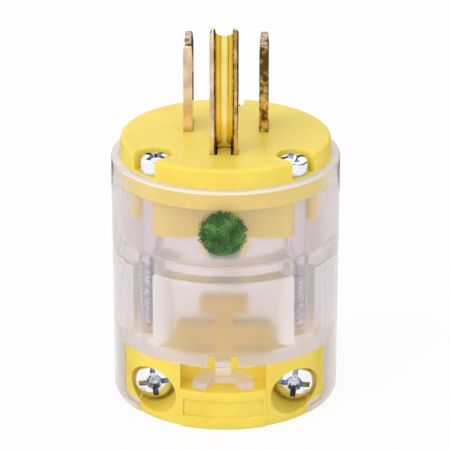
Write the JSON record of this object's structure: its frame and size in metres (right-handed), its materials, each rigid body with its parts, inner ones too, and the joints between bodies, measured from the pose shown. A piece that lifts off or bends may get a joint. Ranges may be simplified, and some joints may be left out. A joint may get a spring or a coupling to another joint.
{
  "type": "type b plug",
  "caption": "Rewirable three-pin mains plug with flat blades, a U-section ground pin, a clear round shell, a yellow face and a screw-down cord clamp.",
  "frame": {"origin": "centre of the shell's open cord end, on the plane it stands on", "axes": "+Z along the plug's axis to the pins, -Y towards the ground pin, +X towards the neutral blade"},
  "size_m": [0.0384, 0.0384, 0.0681],
  "materials": {
    "yellow_nylon": "satin moulded nylon",
    "clear_polycarbonate": "clear, lightly frosted polycarbonate",
    "brass": "rolled sheet brass",
    "brass_screw": "turned brass",
    "zinc_steel": "bright zinc plate",
    "green_steel": "green chromate"
  },
  "bodies": {
    "root": {"face_body": "yellow_nylon", "cord_clamp": "yellow_nylon", "shell": "clear_polycarbonate", "blade_retainer": "yellow_nylon", "line_blade": "brass", "neutral_blade": "brass", "ground_pin": "brass", "line_wire_plate": "brass", "neutral_wire_plate": "brass", "ground_wire_plate": "brass", "line_terminal_screw": "brass_screw", "neutral_terminal_screw": "zinc_steel", "ground_terminal_screw": "green_steel", "retainer_screw": "zinc_steel", "assembly_screws": "zinc_steel", "clamp_screws": "zinc_steel"}
  },
  "joints": []
}
